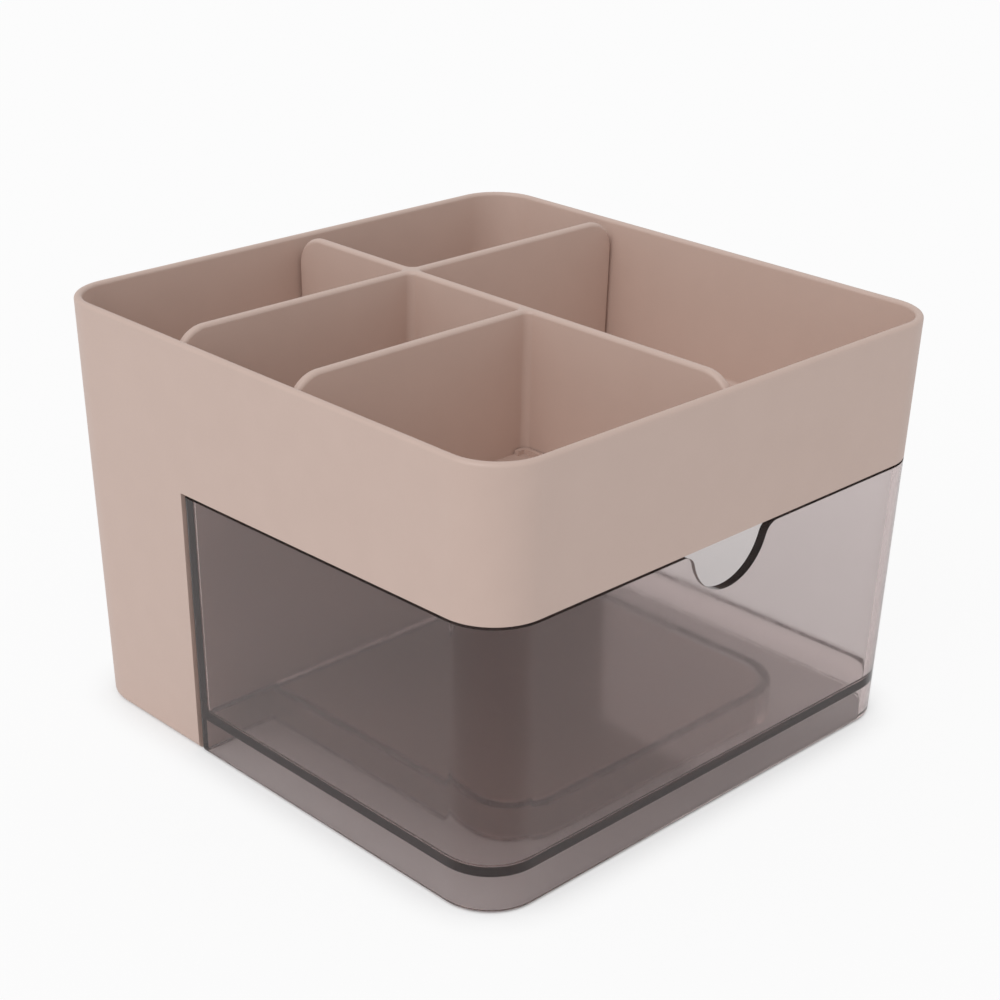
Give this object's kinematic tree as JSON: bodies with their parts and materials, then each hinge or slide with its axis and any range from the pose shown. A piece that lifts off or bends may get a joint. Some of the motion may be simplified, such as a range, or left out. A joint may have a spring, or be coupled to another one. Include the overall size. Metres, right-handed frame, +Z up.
{
  "type": "desk organizer",
  "caption": "Desk organizer: open tray with a lift-out divider insert over a transparent drawer that slides out to the front and has a half-round finger notch.",
  "frame": {"origin": "on the table, under the middle of the object's outer box", "axes": "+Z up, -Y towards the front where the drawer comes out, +X to the right of somebody who faces the front"},
  "size_m": [0.152, 0.1552, 0.1093],
  "materials": {
    "body": "fine moulded matt, pink beige",
    "insert": "fine moulded matt, pink beige",
    "drawer": "polished smoked transparent plastic"
  },
  "bodies": {
    "body": {"body_shell": "body"},
    "insert": {"divider_insert": "insert"},
    "drawer": {"drawer": "drawer"}
  },
  "joints": [
    {"name": "drawer_slide", "type": "slide", "parent": "body", "child": "drawer", "axis": [0, -1, 0], "range_m": [0, 0.075]},
    {"name": "insert_lift", "type": "slide", "parent": "body", "child": "insert", "axis": [0, 0, 1], "range_m": [0, 0.04]}
  ]
}
